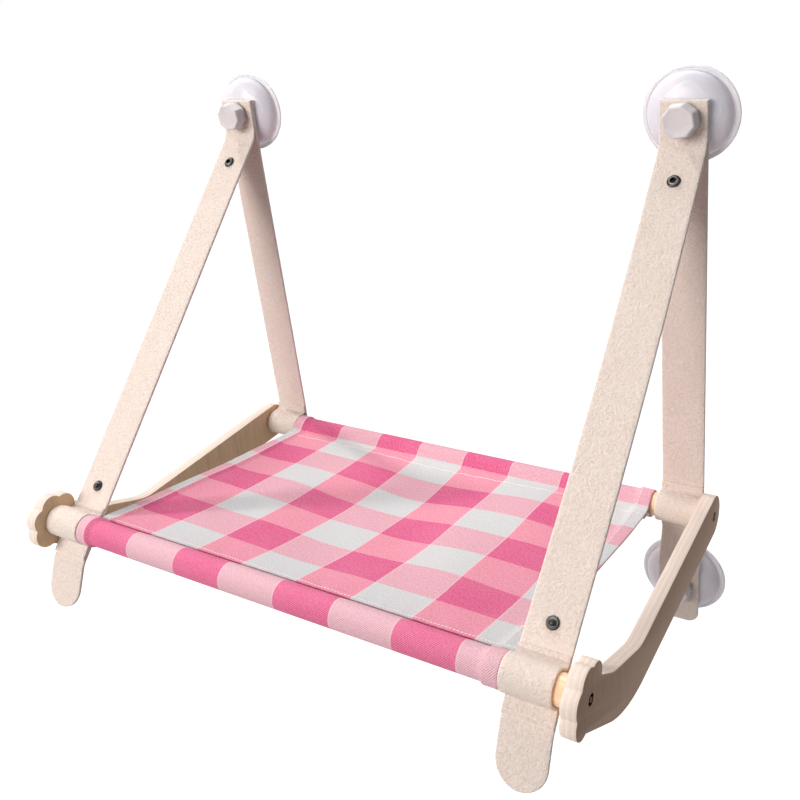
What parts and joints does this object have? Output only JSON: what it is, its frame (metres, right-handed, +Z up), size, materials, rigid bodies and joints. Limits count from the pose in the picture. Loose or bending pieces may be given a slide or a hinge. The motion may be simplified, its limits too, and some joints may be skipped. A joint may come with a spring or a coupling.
{
  "type": "window hammock for a cat",
  "caption": "Window-mounted cat hammock: a sagging cloth sling on a wooden frame, hung by felt straps from suction cups, and folding up against the pane.",
  "frame": {"origin": "on the window pane, midway between the axes of the upper suction cups", "axes": "+Y into the pane, +Z up along it, +X to the right as seen from the room"},
  "size_m": [0.545, 0.3554, 0.528],
  "materials": {
    "cup_vinyl": "soft milky vinyl, satin",
    "nut_plastic": "moulded, satin",
    "felt": "dense cream felt with cut edges",
    "plywood": "clear matt lacquer",
    "pine": "sanded, clear matt lacquer",
    "gingham_cotton": "pink and white woven check",
    "snap_metal": "dark gunmetal plating",
    "screw_metal": "black phosphate"
  },
  "bodies": {
    "window_mount": {"suction_cup_upper_left": "cup_vinyl", "suction_cup_upper_right": "cup_vinyl", "suction_cup_lower_left": "cup_vinyl", "suction_cup_lower_right": "cup_vinyl", "cup_stud_upper_left": "nut_plastic", "cup_stud_upper_right": "nut_plastic", "cup_stud_lower_left": "nut_plastic", "cup_stud_lower_right": "nut_plastic", "rear_strap_left": "felt", "rear_strap_right": "felt", "rear_loop_patch_left": "felt", "rear_loop_patch_right": "felt", "front_strap_left": "felt", "front_strap_right": "felt", "snap_socket_left": "snap_metal", "snap_socket_right": "snap_metal", "snap_socket_cap_left": "snap_metal", "snap_socket_cap_right": "snap_metal"},
    "bed": {"front_loop_patch_left": "felt", "front_loop_patch_right": "felt", "snap_stud_left": "snap_metal", "snap_stud_right": "snap_metal", "snap_stud_cap_left": "snap_metal", "snap_stud_cap_right": "snap_metal", "side_arm_left": "plywood", "side_arm_right": "plywood", "front_rod": "pine", "rear_rod": "pine", "arm_screw_front_left": "screw_metal", "arm_screw_front_right": "screw_metal", "arm_screw_rear_left": "screw_metal", "arm_screw_rear_right": "screw_metal", "sling": "gingham_cotton"},
    "nut_upper_left": {"cup_nut_upper_left": "nut_plastic"},
    "nut_upper_right": {"cup_nut_upper_right": "nut_plastic"},
    "nut_lower_left": {"cup_nut_lower_left": "nut_plastic"},
    "nut_lower_right": {"cup_nut_lower_right": "nut_plastic"}
  },
  "joints": [
    {"name": "bed_fold", "type": "hinge", "parent": "window_mount", "child": "bed", "pos_m": [0, -0.02, -0.363], "axis": [-1, 0, 0], "range_deg": [0, 70], "deforming": ["front_strap_left", "front_strap_right"]},
    {"name": "nut_upper_left_turn", "type": "hinge", "parent": "window_mount", "child": "nut_upper_left", "pos_m": [-0.2325, -0.023, 0], "axis": [0, -1, 0], "continuous": true},
    {"name": "nut_upper_right_turn", "type": "hinge", "parent": "window_mount", "child": "nut_upper_right", "pos_m": [0.2325, -0.023, 0], "axis": [0, -1, 0], "continuous": true},
    {"name": "nut_lower_left_turn", "type": "hinge", "parent": "window_mount", "child": "nut_lower_left", "pos_m": [-0.2325, -0.023, -0.448], "axis": [0, -1, 0], "continuous": true},
    {"name": "nut_lower_right_turn", "type": "hinge", "parent": "window_mount", "child": "nut_lower_right", "pos_m": [0.2325, -0.023, -0.448], "axis": [0, -1, 0], "continuous": true}
  ]
}
